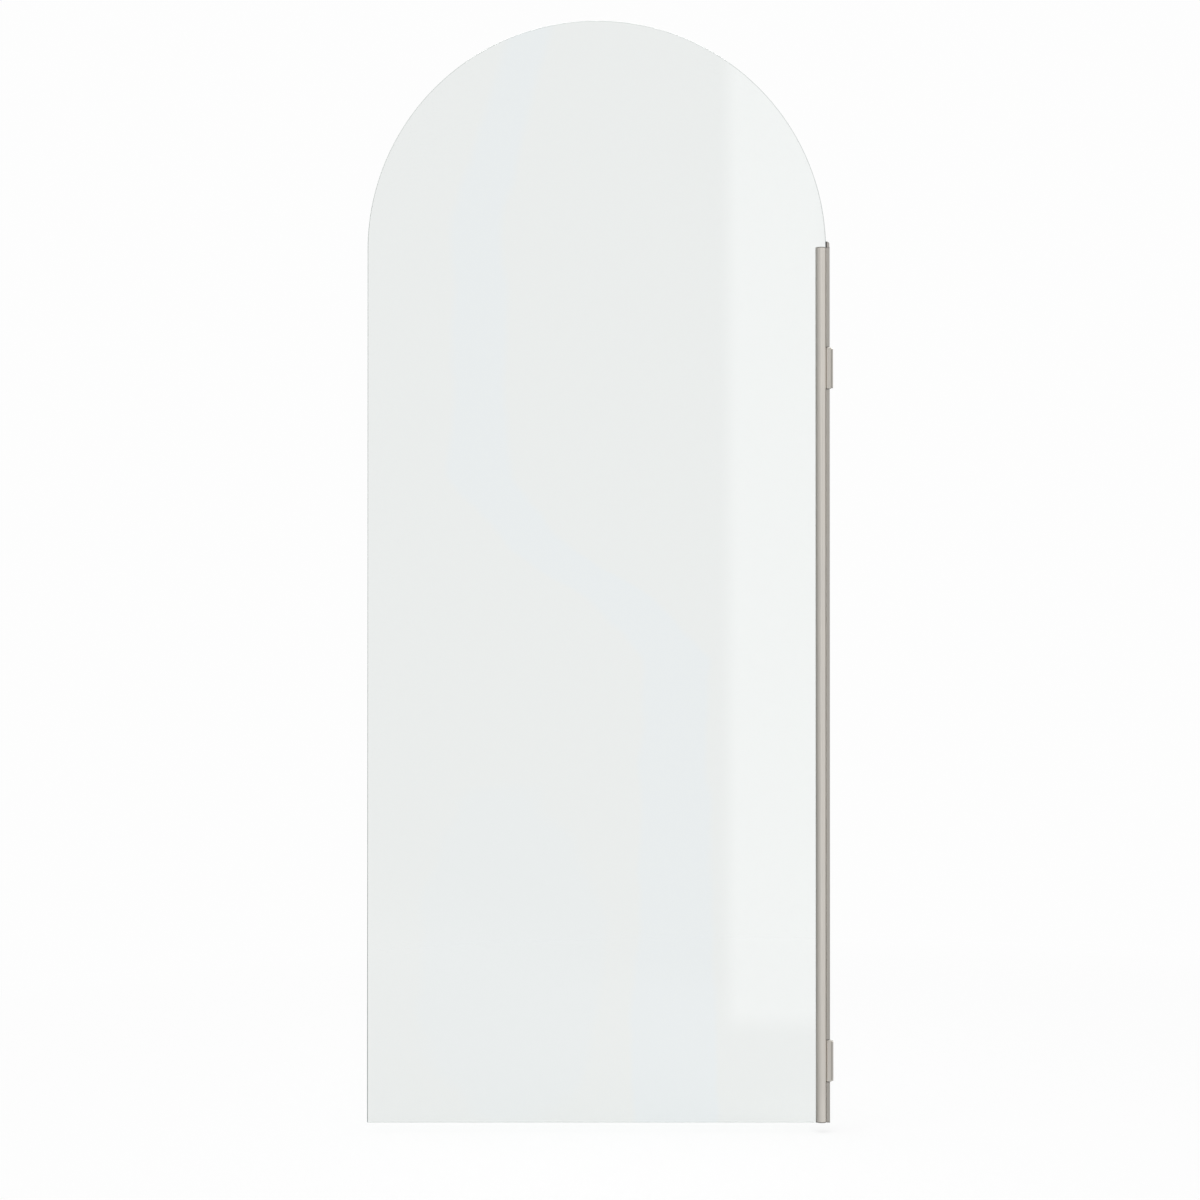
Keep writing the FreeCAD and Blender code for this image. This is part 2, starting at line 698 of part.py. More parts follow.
# Checks and files
def faults():
    found = []
    for item in doc.Objects:
        if "Invalid" in item.State or "Error" in item.State:
            found.append(f"{item.Label}: {item.State}")
    for body in sub_parts:
        if body.Shape.isNull() or not body.Shape.isValid() or not body.Shape.Solids:
            found.append(f"{body.Label}: bad shape")
    return found


glass_panel()
hinge_profile()
glazing_strips()
clamp_screws()
front_cover()
end_cap("top_end_cap", "channel_top", "channel_top", True, False)
end_cap("bottom_end_cap", "cap_foot", "channel_bottom", False, True)
hinge("lower", None)
hinge("upper", "hinge_spacing")
doc.recompute()

problems = faults()
if problems:
    raise RuntimeError("; ".join(problems))
os.makedirs("parts", exist_ok=True)
for body in sub_parts:
    body.Shape.exportStep(f"parts/{body.Label}.step")
    box = body.Shape.BoundBox
    reach = f"{box.XLength:.1f} x {box.YLength:.1f} x {box.ZLength:.1f} mm"
    print(f"{body.Label}: {len(body.Shape.Solids)} solids, {body.Shape.Volume:.1f} mm3, {reach}")
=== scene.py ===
# %% [markdown]
# # An arched shower screen on wall hinges
# The real object is one arched pane of clear glass. A metal channel clamps its right-hand edge, a half-round
# cover hides the clamp screws, and two small brackets carry the channel on pins, so the screen swings.
# Its solids come packed from the construction model, already in place and in metres. This lesson dresses
# them: it gives every surface its finish, remodels the pieces whose curves should be finer than the packed
# facets, and builds a small photo studio round them.

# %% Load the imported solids
import math

import bmesh
import bpy
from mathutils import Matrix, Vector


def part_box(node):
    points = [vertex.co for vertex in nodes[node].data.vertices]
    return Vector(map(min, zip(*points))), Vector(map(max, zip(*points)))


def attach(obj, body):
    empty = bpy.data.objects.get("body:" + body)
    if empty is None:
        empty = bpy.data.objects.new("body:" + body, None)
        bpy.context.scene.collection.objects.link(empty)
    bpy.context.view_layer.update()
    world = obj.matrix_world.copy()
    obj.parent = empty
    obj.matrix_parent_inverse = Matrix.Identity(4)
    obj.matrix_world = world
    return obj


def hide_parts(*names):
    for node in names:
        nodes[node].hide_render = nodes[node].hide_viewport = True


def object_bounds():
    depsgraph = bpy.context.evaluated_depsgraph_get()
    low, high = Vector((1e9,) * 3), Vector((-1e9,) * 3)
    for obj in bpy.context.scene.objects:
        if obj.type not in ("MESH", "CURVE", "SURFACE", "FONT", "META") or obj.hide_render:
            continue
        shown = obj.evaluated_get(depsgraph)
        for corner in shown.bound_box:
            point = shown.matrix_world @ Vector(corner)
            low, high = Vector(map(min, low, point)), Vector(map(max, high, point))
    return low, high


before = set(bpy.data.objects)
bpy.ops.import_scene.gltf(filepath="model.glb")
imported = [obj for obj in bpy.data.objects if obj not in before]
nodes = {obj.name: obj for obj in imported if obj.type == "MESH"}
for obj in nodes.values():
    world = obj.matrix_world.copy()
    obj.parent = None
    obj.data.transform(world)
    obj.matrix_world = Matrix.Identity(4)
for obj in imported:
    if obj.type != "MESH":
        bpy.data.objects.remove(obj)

cad_low, cad_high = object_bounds()
print(len(nodes), "solids, from", [round(n, 4) for n in cad_low], "to", [round(n, 4) for n in cad_high])

# %% [markdown]
# ## Shader maths as plain sums
# A finish is a small graph of nodes. Wiring each sum by hand hides what it says, so one class wraps an output
# socket and turns Python operators into Math nodes: `1 - mask` adds a Subtract node. A second class holds the
# graph and adds every other kind of node through one method: the type first, then its settings, then what
# goes into its sockets.

# %% Values and graphs
class Value:
    """A number that changes over a surface or with the kind of ray: an output socket with arithmetic."""

    def __init__(self, graph, socket):
        self.graph = graph
        self.socket = socket

    def sum(self, operation, first, second):
        made = self.graph.node("ShaderNodeMath", {"operation": operation}, {0: first, 1: second})
        return Value(self.graph, made.outputs["Value"])

    def __add__(self, other):
        return self.sum("ADD", self, other)

    def __radd__(self, other):
        return self.sum("ADD", other, self)

    def __sub__(self, other):
        return self.sum("SUBTRACT", self, other)

    def __rsub__(self, other):
        return self.sum("SUBTRACT", other, self)

    def __mul__(self, other):
        return self.sum("MULTIPLY", self, other)

    def __rmul__(self, other):
        return self.sum("MULTIPLY", other, self)

    def __truediv__(self, other):
        return self.sum("DIVIDE", self, other)

    def __rtruediv__(self, other):
        return self.sum("DIVIDE", other, self)


class Graph:
    """The node tree of a material or of the world."""

    def __init__(self, owner):
        owner.use_nodes = True
        self.tree = owner.node_tree
        self.tree.nodes.clear()

    def node(self, kind, settings=None, sockets=None):
        made = self.tree.nodes.new(kind)
        for name, setting in (settings or {}).items():
            if name == "stops":
                self.set_stops(made.color_ramp, setting)
            else:
                setattr(made, name, setting)
        for name, source in (sockets or {}).items():
            if isinstance(source, Value):
                self.tree.links.new(source.socket, made.inputs[name])
            else:
                made.inputs[name].default_value = source
        return made

    def value(self, kind, output, settings=None, sockets=None):
        return Value(self, self.node(kind, settings, sockets).outputs[output])

    def set_stops(self, ramp, stops):
        while len(ramp.elements) < len(stops):
            ramp.elements.new(1.0)
        for element, (place, level) in zip(ramp.elements, stops):
            element.position = place
            element.color = (level, level, level, 1.0)

    def place(self):
        """Where a point lies on the piece, in metres of the frame, so a finish keeps to it as it swings."""
        return self.value("ShaderNodeTexCoord", "Object")

    def stretched(self, vector, scale):
        """The same place with each axis scaled, to draw a texture out along one of them."""
        return self.value("ShaderNodeVectorMath", "Vector", {"operation": "MULTIPLY"}, {0: vector, 1: scale})

    def noise(self, vector, scale, detail=2.0, roughness=0.5):
        """Cloudy values round a half."""
        sockets = {"Vector": vector, "Scale": scale, "Detail": detail, "Roughness": roughness}
        return self.value("ShaderNodeTexNoise", "Fac", {}, sockets)

    def ramp(self, value, *stops):
        return self.value("ShaderNodeValToRGB", "Color", {"stops": stops}, {"Fac": value})

    def blend(self, share, first, second):
        """A colour between two colours. Of Mix's many sockets, 6 and 7 take a colour and 2 gives it."""
        sockets = {"Factor": share, 6: first, 7: second}
        return self.value("ShaderNodeMix", 2, {"data_type": "RGBA"}, sockets)

    def axis(self, vector, name):
        """One of the three numbers of a vector."""
        return self.value("ShaderNodeSeparateXYZ", name, {}, {"Vector": vector})

    def rise(self, value, start, run):
        """0 before start, 1 after start plus run, and a smooth slope between."""
        return self.value("ShaderNodeMapRange", "Result", {"interpolation_type": "SMOOTHSTEP"},
                          {"Value": value, "From Min": start, "From Max": start + run})

    def bump(self, height, depth):
        """A normal tilted by a height, whose full range is depth metres."""
        sockets = {"Strength": 1.0, "Distance": depth, "Height": height}
        return self.value("ShaderNodeBump", "Normal", {}, sockets)

    def end(self, surface, volume=None):
        output = self.node("ShaderNodeOutputMaterial", {}, {"Surface": surface})
        if volume:
            self.tree.links.new(volume.socket, output.inputs["Volume"])


def new_finish(name):
    material = bpy.data.materials.new(name)
    return material, Graph(material)


def opaque(colour):
    return (*colour, 1.0)


print("sums on values: + - * /, also with a plain number first")

# %% [markdown]
# ## The streak on the glass
# Shower glass carries a coating that sheds water, and a wiped coat dries in faint cool streaks. One winds
# down the pane and ends in a wider patch at the foot. Noise alone would make streaks anywhere. To lead this
# one along the pane, a colour ramp turns height into the place of its middle line, and noise only frays its
# rim. Places and reaches are shares of the pane, so the streak would fit any width.

# %% The streak on the glass
pane_low, pane_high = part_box("glass_panel")
pane_size = pane_high - pane_low
# Height above the foot, then the place of the middle line across.
STREAK_PATH = ((0.0, 0.67), (0.42, 0.67), (0.475, 0.55), (0.52, 0.375),
               (0.585, 0.245), (0.82, 0.24), (1.0, 0.36))
STREAK_REACH = 0.045
STREAK_SPREAD = 0.045
STREAK_BLUR = 0.003
FRAY_SCALE = 7.0
FRAY_REACH = 0.06
PATCH_MIDDLE = (0.31, 0.147)
PATCH_REACH = (0.21, 0.16)
PATCH_FADE = (0.8, 0.3)
PATCH_SHARE = 0.5


def streak(graph, place):
    """1 in the streak and in its patch, 0 on the rest of the pane."""
    across = (graph.axis(place, "X") - pane_low.x) / pane_size.x
    height = (graph.axis(place, "Z") - pane_low.z) / pane_size.z
    fray = graph.noise(place, FRAY_SCALE, detail=3.0) - 0.5
    aside = across + fray * FRAY_REACH - graph.ramp(height, *STREAK_PATH)
    reach = (1 - height) * STREAK_SPREAD + STREAK_REACH
    off_line = graph.rise(aside * aside - reach * reach, -STREAK_BLUR / 2, STREAK_BLUR)
    x = (across - PATCH_MIDDLE[0]) / PATCH_REACH[0]
    z = (height - PATCH_MIDDLE[1]) / PATCH_REACH[1]
    patch = 1 - graph.rise(x * x + z * z + fray, *PATCH_FADE)
    return 1 - off_line * (1 - patch * PATCH_SHARE)


print("the streak leans over", len(STREAK_PATH), "heights of the pane")

# %% [markdown]
# ## Clear glass
# Toughened float glass is almost without colour when you look through it and green when you look into its
# edge, because iron in the glass takes a little red light for every millimetre. A flat tint would colour face
# and edge alike, so the tint here is an absorbing volume: 6 mm take little, the full width takes a lot.
# Face and edge share one material, because a ray must leave the volume through the same material by which it
# came in. The direction of the surface tells them apart: each mask takes the square of one part of it, and
# its two numbers say where the mask starts and how far it takes to rise. Light that shows in the edge has
# bounced across the whole pane, many more times than a renderer follows, so from outside the edge is a glossy
# green skin. From inside the pane it stays clear. Lamps would cast a black shadow behind refracting glass, so
# rays towards a lamp meet a plain transparent shader instead.

# %% Clear glass
GLASS_INDEX = 1.52
GLASS_PLAIN_TINT = (0.867, 0.880, 0.874)
GLASS_COOL_TINT = (0.854, 0.880, 0.890)
# Edge tints: unshaded, and under the painted shade of the upright edges, which fades out up to a height.
GLASS_EDGE_UNSHADED = (0.70, 0.74, 0.72)
GLASS_EDGE_PAINTED_SHADE = (0.06, 0.08, 0.075)
EDGE_SHADE_UP_TO = 0.85
GLASS_EDGE_DEEP = (0.035, 0.125, 0.090)
GLASS_EDGE_BRIGHT = (0.075, 0.215, 0.160)
GLASS_BODY_TINT = (0.70, 0.88, 0.80)
GLASS_DENSITY = 8.0
GLASS_SHADOW = (0.90, 0.93, 0.92)
FACE_MASK = (0.6, 0.3)
ARRIS_MASK = (0.05, 0.2)
UPRIGHT_MASK = (0.1, 0.3)
SPECKLE_SCALE = 60.0
SPECKLE_REACH = 0.16
FACE_HAZE_SCALE = 9.0
FACE_HAZE = 0.01
EDGE_GRIND_SCALE = 400.0
EDGE_POLISHED = 0.05
EDGE_GROUND = 0.20
EDGE_WAVES = (6.0, 300.0, 6.0)


def edge_colour(graph, place, facing):
    """Painted shade: lighter round the arch and darker down the upright edges, most towards the foot."""
    height = graph.axis(place, "Z") / EDGE_SHADE_UP_TO
    speckle = (graph.noise(place, SPECKLE_SCALE) - 0.5) * SPECKLE_REACH
    sideways = graph.axis(facing, "X")
    upright = graph.rise(sideways * sideways, *UPRIGHT_MASK)
    # Painted shade: the upright edge darker towards its foot.
    painted_shade = graph.ramp(height + speckle, (0.0, 1.0), (1.0, 0.0)) * upright
    return graph.blend(painted_shade, opaque(GLASS_EDGE_UNSHADED), opaque(GLASS_EDGE_PAINTED_SHADE))


def glass_finish(name):
    material, graph = new_finish(name)
    place = graph.place()
    facing = graph.value("ShaderNodeTexCoord", "Normal")
    across = graph.axis(facing, "Y")
    edge = 1 - graph.rise(across * across, *FACE_MASK)
    face_colour = graph.blend(streak(graph, place), opaque(GLASS_PLAIN_TINT), opaque(GLASS_COOL_TINT))
    face_roughness = graph.noise(place, FACE_HAZE_SCALE, detail=3.0) * FACE_HAZE
    grind = graph.noise(place, EDGE_GRIND_SCALE)
    edge_roughness = grind * (EDGE_GROUND - EDGE_POLISHED) + EDGE_POLISHED
    pane = graph.value("ShaderNodeBsdfPrincipled", "BSDF", {}, {
        "Base Color": graph.blend(edge, face_colour, edge_colour(graph, place, facing)),
        "Roughness": face_roughness + edge * (edge_roughness - face_roughness),
        "IOR": GLASS_INDEX,
        "Transmission Weight": 1.0,
    })
    waves = graph.noise(graph.stretched(place, EDGE_WAVES), 1.0, detail=3.0)
    rim = graph.value("ShaderNodeBsdfPrincipled", "BSDF", {}, {
        "Base Color": graph.blend(waves, opaque(GLASS_EDGE_DEEP), opaque(GLASS_EDGE_BRIGHT)),
        "Roughness": edge_roughness,
        "IOR": GLASS_INDEX,
    })
    flat_edge = 1 - graph.rise(across * across, *ARRIS_MASK)
    outside = 1 - graph.value("ShaderNodeNewGeometry", "Backfacing")
    glass = graph.value("ShaderNodeMixShader", "Shader", {}, {0: flat_edge * outside, 1: pane, 2: rim})
    see_through = graph.value("ShaderNodeBsdfTransparent", "BSDF", {}, {"Color": opaque(GLASS_SHADOW)})
    to_lamp = graph.value("ShaderNodeLightPath", "Is Shadow Ray")
    surface = graph.value("ShaderNodeMixShader", "Shader", {}, {0: to_lamp, 1: glass, 2: see_through})
    body = graph.value("ShaderNodeVolumeAbsorption", "Volume", {}, {
        "Color": opaque(GLASS_BODY_TINT),
        "Density": GLASS_DENSITY,
    })
    graph.end(surface, body)
    return material


clear_glass = glass_finish("clear_glass")
print("glass:", clear_glass.name, "with", len(clear_glass.node_tree.nodes), "nodes")

# %% [markdown]
# ## Brushed nickel
# The channel, cover and brackets are brushed along their length and coated in a warm nickel grey. Brushing
# leaves fine upright scratches. They could be modelled, but they are as thin as a hair, so noise drawn out
# along Z stands for them: it shades the coat, sways the roughness and tilts the surface a little. A slower
# cloud makes the coat a touch warmer or cooler along the bar. Noise keeps near a half, so a ramp spreads it.
# Beside the cover the front of the channel is lighter, and so is the round left side of each hinge arm: a
# painted highlight that lightens the shade in the crease and on that round side. Each piece also has its own
# brightness of the one coat: partly its tone, partly painted light and shade, lighter on the lower bracket
# near the bright floor and darker on the channel's bar set back beside the cover and on the wall plates.

# %% Brushed nickel
MM = 0.001
GRAIN = (3200.0, 3200.0, 14.0)
CLOUDS = (40.0, 40.0, 9.0)
NOISE_SPREAD = ((0.3, 0.0), (0.7, 1.0))
NICKEL_WARM = (0.614, 0.583, 0.533)
NICKEL_COOL = (0.600, 0.574, 0.532)
# Colour and front reach of the painted highlight.
NICKEL_PAINTED_HIGHLIGHT = (0.86, 0.82, 0.77)
PAINTED_HIGHLIGHT_FRONT = (-4.8 * MM, 1.6 * MM)
SCRATCH_SHADE = 0.09
SCRATCH_DEPTH = 0.008 * MM
SCRATCH_ROUGHNESS = 0.16
PLAIN_ROUGHNESS = 0.42
ARM_ROUGHNESS = 0.56


def brushed_nickel(name, tone_and_shade, roughness=PLAIN_ROUGHNESS, painted_highlight=None):
    """Nickel with an upright grain. The brightness argument makes the coat of one piece lighter or darker
    than the next: partly its tone, partly painted light and shade. On the front, up to the x at which the
    highlight range starts and fading over its run, the coat is lighter: a painted highlight."""
    material, graph = new_finish(name)
    place = graph.place()
    scratches = graph.noise(graph.stretched(place, GRAIN), 1.0, detail=3.0, roughness=0.6)
    in_scratch = graph.ramp(scratches, *NOISE_SPREAD)
    clouds = graph.ramp(graph.noise(graph.stretched(place, CLOUDS), 1.0), *NOISE_SPREAD)

    def shade(level):
        warm, cool = ([tone_and_shade * level * part for part in colour] for colour in (NICKEL_WARM, NICKEL_COOL))
        return graph.blend(clouds, opaque(warm), opaque(cool))

    coat = graph.blend(in_scratch, shade(1 - SCRATCH_SHADE), shade(1 + SCRATCH_SHADE))
    # Painted highlight: the front of the piece, left of the given x, is blended to a light nickel.
    if painted_highlight:
        left = 1 - graph.rise(graph.axis(place, "X"), *painted_highlight)
        front = 1 - graph.rise(graph.axis(place, "Y"), *PAINTED_HIGHLIGHT_FRONT)
        coat = graph.blend(left * front, coat, opaque(NICKEL_PAINTED_HIGHLIGHT))
    metal = graph.value("ShaderNodeBsdfPrincipled", "BSDF", {}, {
        "Base Color": coat,
        "Metallic": 1.0,
        "Roughness": scratches * SCRATCH_ROUGHNESS + (roughness - SCRATCH_ROUGHNESS / 2),
        "Normal": graph.bump(scratches, SCRATCH_DEPTH),
    })
    graph.end(metal)
    return material


# One coat at a different brightness per piece, partly tone and partly painted light and shade: the channel
# darker for the shade on its bar set back beside the cover, the plates darker as painted shade on their side
# strips, and the lower bracket lighter as painted light from the bright floor near it.
COVER_TONE = 1.06
CHANNEL_TONE_AND_SHADE = 0.64
ARM_TONE = 0.90
PLATE_PAINTED_SHADE = 0.75
BRACKET_PAINTED_LIGHT = {"lower": 1.07, "upper": 1.0}
# Where the painted highlight starts on the channel beside the cover and on the arms' round side.
CHANNEL_PAINTED_HIGHLIGHT = (-11.9 * MM, 0.5 * MM)
ARM_PAINTED_HIGHLIGHT = (-10.8 * MM, 1.6 * MM)
cover_nickel = brushed_nickel("brushed_nickel_cover", COVER_TONE)
channel_nickel = brushed_nickel("brushed_nickel_channel", CHANNEL_TONE_AND_SHADE, painted_highlight=CHANNEL_PAINTED_HIGHLIGHT)
arm_nickel, plate_nickel = {}, {}
for side, tone_and_shade in BRACKET_PAINTED_LIGHT.items():
    name = f"brushed_nickel_{side}"
    arm_nickel[side] = brushed_nickel(f"{name}_arm", ARM_TONE * tone_and_shade, ARM_ROUGHNESS, ARM_PAINTED_HIGHLIGHT)
    plate_nickel[side] = brushed_nickel(f"{name}_plate", PLATE_PAINTED_SHADE * tone_and_shade)
print("nickel:", cover_nickel.name, channel_nickel.name, [arm.name for arm in arm_nickel.values()])

# %% [markdown]
# ## Plastic, rubber and screws
# The end caps are moulded and sprayed to match the nickel, so they have a fine pebbled skin instead of a
# grain; their colour here is much darker than the nickel, painted shade for the dark ends of the cover. The
# gaskets are extruded rubber with a dull bloom, and the washers are nylon. The pins are turned steel with
# rings round their axis, and the small screws share that finish. The strip inside the channel is bare
# extruded aluminium, with lines along its length. Rings and lines are the same noise, squeezed along Z for
# the one and drawn out along Z for the other.

# %% Plastic, rubber and screws
BLOOM_SCALE = 90.0
BLOOM_ROUGHNESS = 0.2
LINES_ACROSS = 200.0
LINE_DEPTH = 0.003 * MM
METAL_ROUGHNESS = 0.2
LINE_ROUGHNESS = 0.2


def moulded(name, light, dark, roughness, pebble_scale, pebble_depth):
    """A matt moulded or extruded skin: two close tones and a pebbled surface."""
    material, graph = new_finish(name)
    place = graph.place()
    pebbles = graph.noise(place, pebble_scale)
    bloom = graph.noise(place, BLOOM_SCALE, detail=3.0)
    skin = graph.value("ShaderNodeBsdfPrincipled", "BSDF", {}, {
        "Base Color": graph.blend(bloom, opaque(dark), opaque(light)),
        "Roughness": bloom * BLOOM_ROUGHNESS + (roughness - BLOOM_ROUGHNESS / 2),
        "Normal": graph.bump(pebbles, pebble_depth),
    })
    graph.end(skin)
    return material


def bare_metal(name, light, dark, lines_up):
    """Plain metal with faint lines: level ones if they change fast up the piece, long ones if slowly."""
    material, graph = new_finish(name)
    lines = graph.noise(graph.stretched(graph.place(), (LINES_ACROSS, LINES_ACROSS, lines_up)), 1.0)
    metal = graph.value("ShaderNodeBsdfPrincipled", "BSDF", {}, {
        "Base Color": graph.blend(lines, opaque(dark), opaque(light)),
        "Metallic": 1.0,
        "Roughness": lines * LINE_ROUGHNESS + METAL_ROUGHNESS,
        "Normal": graph.bump(lines, LINE_DEPTH),
    })
    graph.end(metal)
    return material


# The cap colour is painted shade: far darker than the nickel that the caps are sprayed to match.
cap_plastic_painted_shade = moulded("sprayed_cap", light=(0.26, 0.245, 0.225), dark=(0.21, 0.20, 0.185),
                      roughness=0.45, pebble_scale=2600.0, pebble_depth=0.01 * MM)
gasket_rubber = moulded("gasket_rubber", light=(0.030, 0.029, 0.028), dark=(0.016, 0.016, 0.016),
                        roughness=0.7, pebble_scale=1500.0, pebble_depth=0.02 * MM)
washer_nylon = moulded("washer_nylon", light=(0.05, 0.05, 0.05), dark=(0.028, 0.028, 0.029),
                       roughness=0.5, pebble_scale=3000.0, pebble_depth=0.005 * MM)
screw_steel = bare_metal("turned_steel", light=(0.64, 0.63, 0.61), dark=(0.52, 0.51, 0.50), lines_up=5000.0)
strip_aluminium = bare_metal("extruded_aluminium", light=(0.80, 0.80, 0.79), dark=(0.70, 0.70, 0.69),
                             lines_up=20.0)
small_finishes = (cap_plastic_painted_shade, gasket_rubber, washer_nylon, screw_steel, strip_aluminium)
print("small finishes:", [finish.name for finish in small_finishes])

# %% [markdown]
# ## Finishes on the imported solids
# Most solids already have the right shape, so they stay and only change their material: the finish takes the
# place of the plain one in the solid's only slot. Points and faces stay as they are.

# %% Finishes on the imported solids
FINISHES = {
    "hinge_profile": channel_nickel,
    "pressure_strip": strip_aluminium,
    "clamp_screws": screw_steel,
}
for gasket in ("front_gasket", "back_gasket", "edge_gasket"):
    FINISHES[gasket] = gasket_rubber
for side in BRACKET_PAINTED_LIGHT:
    FINISHES[f"{side}_wall_plate"] = plate_nickel[side]
    FINISHES[f"{side}_hinge_arm"] = arm_nickel[side]
    FINISHES[f"{side}_arm_screws"] = screw_steel
    FINISHES[f"{side}_hinge_pin"] = screw_steel
    FINISHES[f"{side}_top_washer"] = washer_nylon
    FINISHES[f"{side}_bottom_washer"] = washer_nylon
for name, finish in FINISHES.items():
    nodes[name].material_slots[0].material = finish
print("finished", len(FINISHES), "packed solids")

# %% [markdown]
# ## Meshes from outlines
# The pane and the cover are outlines carried along one direction: the pane across its thickness, the cover up
# the channel. So one helper draws arcs and one joins equal rings of points into a closed skin. Another turns
# any finished shape into a piece, with smooth shading and sharp edges only where faces meet at an angle.

# %% Outlines and skins
SHARP_FROM = math.radians(30)


def arc(x, y, radius, start, end, steps):
    """Points on an arc, angles in degrees, both ends included."""
    turns = [math.radians(start + (end - start) * k / steps) for k in range(steps + 1)]
    return [(x + radius * math.cos(turn), y + radius * math.sin(turn)) for turn in turns]


def piece_from(name, shape):
    """An object in the scene from a shape that is ready."""
    bmesh.ops.recalc_face_normals(shape, faces=shape.faces)
    mesh = bpy.data.meshes.new(name)
    shape.to_mesh(mesh)
    shape.free()
    mesh.shade_smooth()
    mesh.set_sharp_from_angle(angle=SHARP_FROM)
    piece = bpy.data.objects.new(name, mesh)
    bpy.context.scene.collection.objects.link(piece)
    return piece


def skin(name, rings):
    """A closed mesh through equal rings of points, with a flat face on the first and the last ring."""
    shape = bmesh.new()
    loops = [[shape.verts.new(point) for point in ring] for ring in rings]
    shape.faces.new(reversed(loops[0]))
    shape.faces.new(loops[-1])
    for low, high in zip(loops, loops[1:]):
        for k in range(len(low)):
            after = (k + 1) % len(low)
            shape.faces.new((low[k], low[after], high[after], high[k]))
    return piece_from(name, shape)


def dress(piece, replaced, finish):
    piece.data.materials.append(finish)
    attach(piece, "screen")
    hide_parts(replaced)
    print(piece.name, len(piece.data.vertices), "points, for", replaced)


print("a half circle in two steps:", [(round(x, 3), round(y, 3)) for x, y in arc(0, 0, 1, 0, 180, 2)])

# %% [markdown]
# ## The arched pane
# The pane is a rectangle with a half-circle on top. Its edge is ground flat, and both rims carry a narrow
# polished chamfer, the arris, so nobody cuts a hand on them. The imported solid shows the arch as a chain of
# short flats; here it has enough steps to look round.

# %% The arched pane
PANE_ARRIS = 0.8 * MM
PANE_CORNER = 2.0 * MM
ARCH_STEPS = 192
CORNER_STEPS = 6
arch_radius = pane_size.x / 2
arch_x = pane_low.x + arch_radius
arch_z = pane_high.z - arch_radius


def pane_ring(inset, y):
    left, right = pane_low.x + PANE_CORNER, pane_high.x - PANE_CORNER
    bottom = pane_low.z + PANE_CORNER
    corner = PANE_CORNER - inset
    line = arc(left, bottom, corner, 180, 270, CORNER_STEPS)
    line += arc(right, bottom, corner, 270, 360, CORNER_STEPS)
    line += arc(arch_x, arch_z, arch_radius - inset, 0, 180, ARCH_STEPS)
    return [(x, y, z) for x, z in line]


rings = [
    pane_ring(PANE_ARRIS, pane_low.y),
    pane_ring(0, pane_low.y + PANE_ARRIS),
    pane_ring(0, pane_high.y - PANE_ARRIS),
    pane_ring(PANE_ARRIS, pane_high.y),
]
pane = skin("arched_pane", rings)
dress(pane, "glass_panel", clear_glass)

# %% [markdown]
# ## The half-round cover
# A thin half-round moulding clips over the front wall of the channel. Its section is two arcs and a short
# hook that reaches behind that wall. The arcs are redrawn finely. A dead sharp edge on metal never catches
# the light, so a Bevel modifier gives every crisp edge a tiny round.

# %% The half-round cover
COVER_WALL = 1.4 * MM
HOOK_DEPTH = 1.3 * MM
HOOK_REACH = 3.8 * MM
COVER_STEPS = 48
EDGE_ROUND = 0.25 * MM
CRISP_FROM = math.radians(35)
cover_low, cover_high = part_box("front_cover")
cover_radius = cover_high.y - cover_low.y
cover_x = cover_low.x + cover_radius
cover_y = cover_high.y


def angle_at_x(radius, x):
    """Angle on the front half of an arc of the cover where it reaches this x."""
    return 360 - math.degrees(math.acos((x - cover_x) / radius))


def angle_at_y(radius, y):
    """Angle on the left half of an arc of the cover where it reaches this y."""
    return 180 + math.degrees(math.asin((cover_y - y) / radius))


def soften(piece, width, segments, limit):
    """Rounds the edges that the limit picks: ANGLE takes each crisp edge, WEIGHT only edges with a weight."""
    bevel = piece.modifiers.new("soft_edges", "BEVEL")
    bevel.width = width
    bevel.segments = segments
    bevel.limit_method = limit
    bevel.angle_limit = CRISP_FROM
    bevel.harden_normals = True


cover_end = angle_at_x(cover_radius, cover_high.x)
seat_y = cover_y + cover_radius * math.sin(math.radians(cover_end))
inner_radius = cover_radius - COVER_WALL
# Mirrored to the right half, an angle of the left half becomes 540 degrees minus that angle.
inner_end = 540 - angle_at_y(inner_radius, seat_y)
hook_y = cover_y - HOOK_DEPTH
section = arc(cover_x, cover_y, cover_radius, 180, cover_end, COVER_STEPS)
section += arc(cover_x, cover_y, inner_radius, inner_end, angle_at_y(inner_radius, hook_y), COVER_STEPS)
section += [(cover_low.x + HOOK_REACH, hook_y), (cover_low.x + HOOK_REACH, cover_y)]
cover = skin("half_round_cover", [[(x, y, z) for x, y in section] for z in (cover_low.z, cover_high.z)])
soften(cover, EDGE_ROUND, segments=2, limit="ANGLE")
dress(cover, "front_cover", cover_nickel)

# %% [markdown]
# ## The end caps
# A moulded cap closes each end of the cover and of the bar beside it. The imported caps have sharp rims. A real
# moulding is rounded where the tool parts, and that tiny round draws the fine dark line at the ends of the
# cover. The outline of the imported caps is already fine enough, so each cap is a copy of its solid. Corners
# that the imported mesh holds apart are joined, and so are the triangles of each flat face. Then the rim edges
# get a weight, and Bevel rounds only those. Without weights it would also blunt the thin tongue inside the
# cover. Its clamp is off, because one short edge in the crease would shrink the round everywhere.

# %% The end caps
CAP_THICKNESS = 1.5 * MM
CAP_ROUND = 0.3 * MM
CAP_WELD = 0.001 * MM
FLAT_WITHIN = math.radians(1)
UPRIGHT_BELOW = 0.5


def is_level(edge):
    start, end = edge.verts
    return abs(start.co.z - end.co.z) < CAP_WELD


def plate_rims(shape, outer, inner):
    """The level edges of the upright faces that run between these two heights."""
    rims = set()
    for face in shape.faces:
        off_plate = max(min(abs(corner.co.z - outer), abs(corner.co.z - inner)) for corner in face.verts)
        if abs(face.normal.z) < UPRIGHT_BELOW and off_plate < CAP_WELD:
            rims.update(edge for edge in face.edges if is_level(edge))
    return rims


